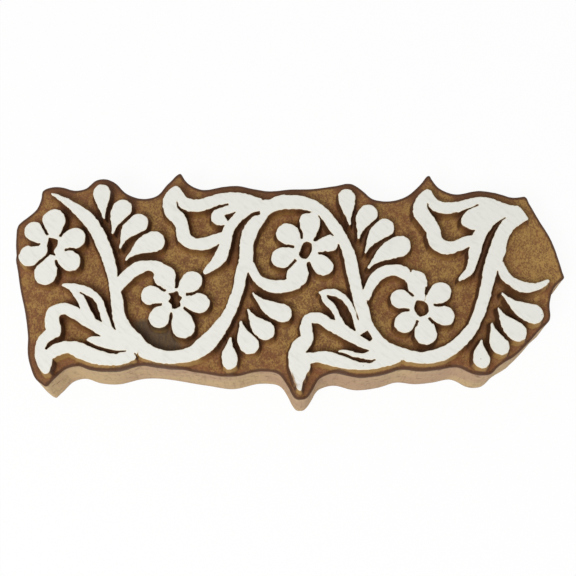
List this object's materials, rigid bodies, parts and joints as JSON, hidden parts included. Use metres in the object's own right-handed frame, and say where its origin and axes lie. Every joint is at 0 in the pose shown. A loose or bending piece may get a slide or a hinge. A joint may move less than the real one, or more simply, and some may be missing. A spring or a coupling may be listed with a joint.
{
  "type": "textile printing block",
  "caption": "Hand-carved wooden block for printing a vine border on cloth: a flat-backed slab sawn to the pattern's outline, with flowers, buds and drops in relief under a thin white coat.",
  "frame": {"origin": "middle of the block's bounding box, on its flat back", "axes": "+X along the border, +Y across the border, +Z from the flat back to the printing face"},
  "size_m": [0.1922, 0.0826, 0.025],
  "materials": {
    "carved_wood": "dark stained carving, paler sawn sides, satin to matte",
    "white_coat": "thin brushed paint, matte"
  },
  "bodies": {
    "root": {"block": "carved_wood", "vine_coat": "white_coat", "left_flower_coat": "white_coat", "upper_left_drop_1_coat": "white_coat", "upper_left_drop_2_coat": "white_coat", "upper_left_drop_3_coat": "white_coat", "upper_left_drop_4_coat": "white_coat", "lower_middle_drop_1_coat": "white_coat", "lower_middle_drop_2_coat": "white_coat", "lower_middle_drop_3_coat": "white_coat", "lower_middle_drop_4_coat": "white_coat", "upper_middle_drop_1_coat": "white_coat", "upper_middle_drop_2_coat": "white_coat", "upper_middle_drop_3_coat": "white_coat", "upper_middle_drop_4_coat": "white_coat", "lower_right_drop_1_coat": "white_coat", "lower_right_drop_2_coat": "white_coat", "lower_right_drop_3_coat": "white_coat", "lower_right_drop_4_coat": "white_coat"}
  },
  "joints": []
}
